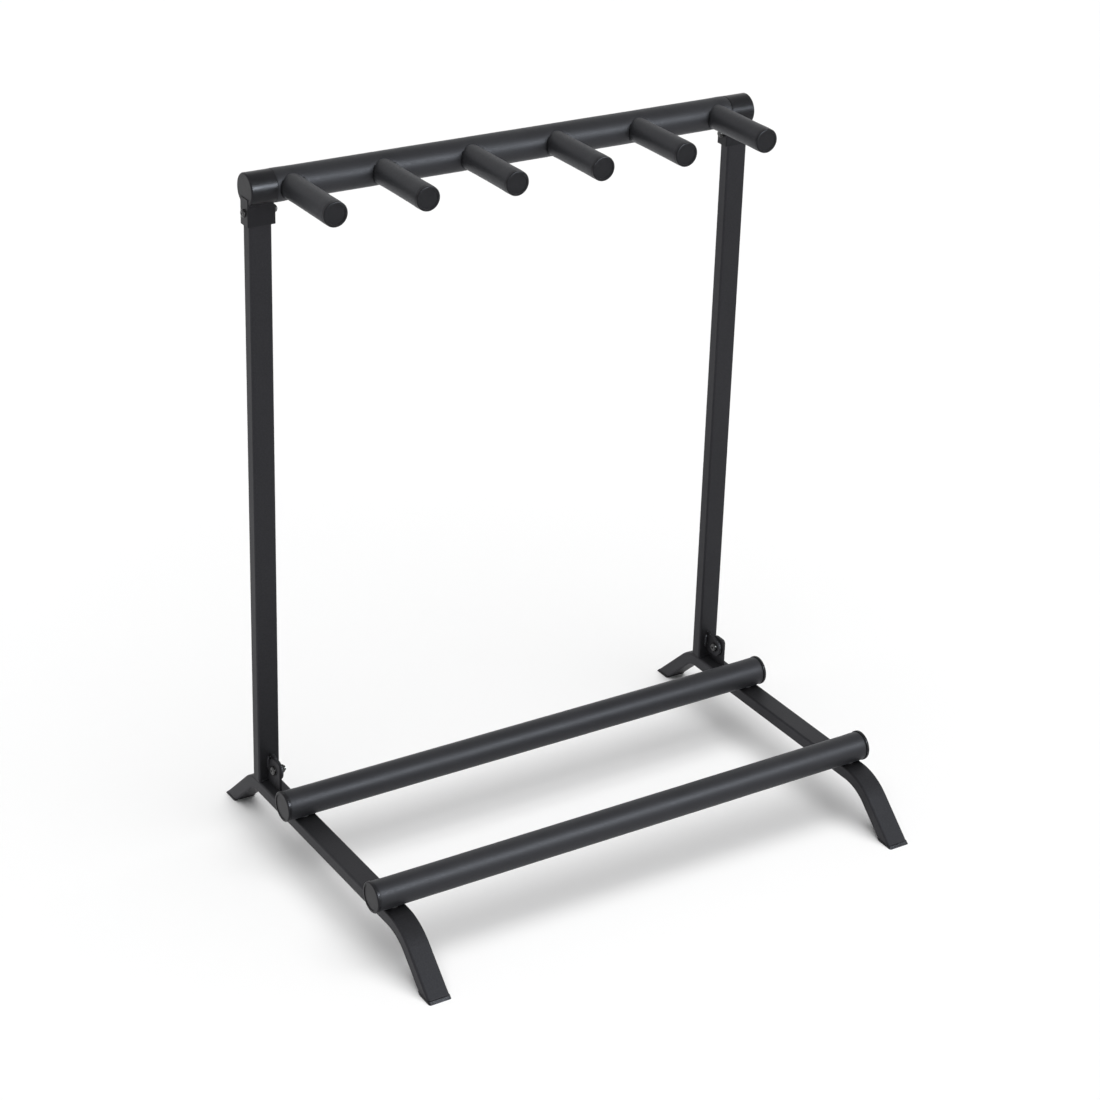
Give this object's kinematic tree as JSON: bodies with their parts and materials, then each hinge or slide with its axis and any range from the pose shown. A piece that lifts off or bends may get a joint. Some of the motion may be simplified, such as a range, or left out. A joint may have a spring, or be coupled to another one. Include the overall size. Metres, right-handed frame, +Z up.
{
  "type": "guitar rack",
  "caption": "Folding floor rack for guitars: a bent-leg base with foam-covered support tubes, and a hinged upper frame whose foam-covered arms keep the necks apart.",
  "frame": {"origin": "on the floor, under the middle of the whole rack: midway between the front and rear feet, and 3.4 mm left of the middle of the two rails", "axes": "+X to the rack's right seen from the front, +Y to the back, +Z up"},
  "size_m": [0.5494, 0.4106, 0.6642],
  "materials": {
    "powder_coated_steel": "black fine-textured powder coat, satin",
    "foam_sleeve": "black closed-cell foam with a smooth matt skin",
    "moulded_plastic": "black moulded plastic, fine spark-eroded texture",
    "black_fastener": "black-oxide steel",
    "bare_steel_tube": "drawn steel tube, hidden under the foam",
    "nylon": "natural nylon"
  },
  "bodies": {
    "base_frame": {"left_base_rail": "powder_coated_steel", "right_base_rail": "powder_coated_steel", "left_front_foot_cap": "moulded_plastic", "left_rear_foot_cap": "moulded_plastic", "right_front_foot_cap": "moulded_plastic", "right_rear_foot_cap": "moulded_plastic", "front_support_tube": "bare_steel_tube", "front_support_foam": "foam_sleeve", "front_support_left_cap": "moulded_plastic", "front_support_right_cap": "moulded_plastic", "rear_support_tube": "bare_steel_tube", "rear_support_foam": "foam_sleeve", "rear_support_left_cap": "moulded_plastic", "rear_support_right_cap": "moulded_plastic", "support_tube_bosses": "bare_steel_tube", "support_tube_bolts": "black_fastener", "left_hinge_ear": "powder_coated_steel", "right_hinge_ear": "powder_coated_steel", "hinge_bolts": "black_fastener", "hinge_nuts": "black_fastener", "hinge_washers": "nylon"},
    "upper_frame": {"left_upright": "powder_coated_steel", "left_upright_plug": "moulded_plastic", "left_hinge_tab": "powder_coated_steel", "left_top_fitting": "moulded_plastic", "right_upright": "powder_coated_steel", "right_upright_plug": "moulded_plastic", "right_hinge_tab": "powder_coated_steel", "right_top_fitting": "moulded_plastic", "top_fitting_bolts": "black_fastener", "top_fitting_nuts": "black_fastener", "crossbar_tube": "bare_steel_tube", "crossbar_foam": "foam_sleeve", "neck_arm_1_tube": "bare_steel_tube", "neck_arm_1_foam": "foam_sleeve", "neck_arm_1_cap": "moulded_plastic", "neck_arm_2_tube": "bare_steel_tube", "neck_arm_2_foam": "foam_sleeve", "neck_arm_2_cap": "moulded_plastic", "neck_arm_3_tube": "bare_steel_tube", "neck_arm_3_foam": "foam_sleeve", "neck_arm_3_cap": "moulded_plastic", "neck_arm_4_tube": "bare_steel_tube", "neck_arm_4_foam": "foam_sleeve", "neck_arm_4_cap": "moulded_plastic", "neck_arm_5_tube": "bare_steel_tube", "neck_arm_5_foam": "foam_sleeve", "neck_arm_5_cap": "moulded_plastic", "neck_arm_6_tube": "bare_steel_tube", "neck_arm_6_foam": "foam_sleeve", "neck_arm_6_cap": "moulded_plastic"}
  },
  "joints": [
    {"name": "upper_frame_fold", "type": "hinge", "parent": "base_frame", "child": "upper_frame", "pos_m": [0.00335, 0.1158, 0.0685], "axis": [1, 0, 0], "range_deg": [0, 89]}
  ]
}
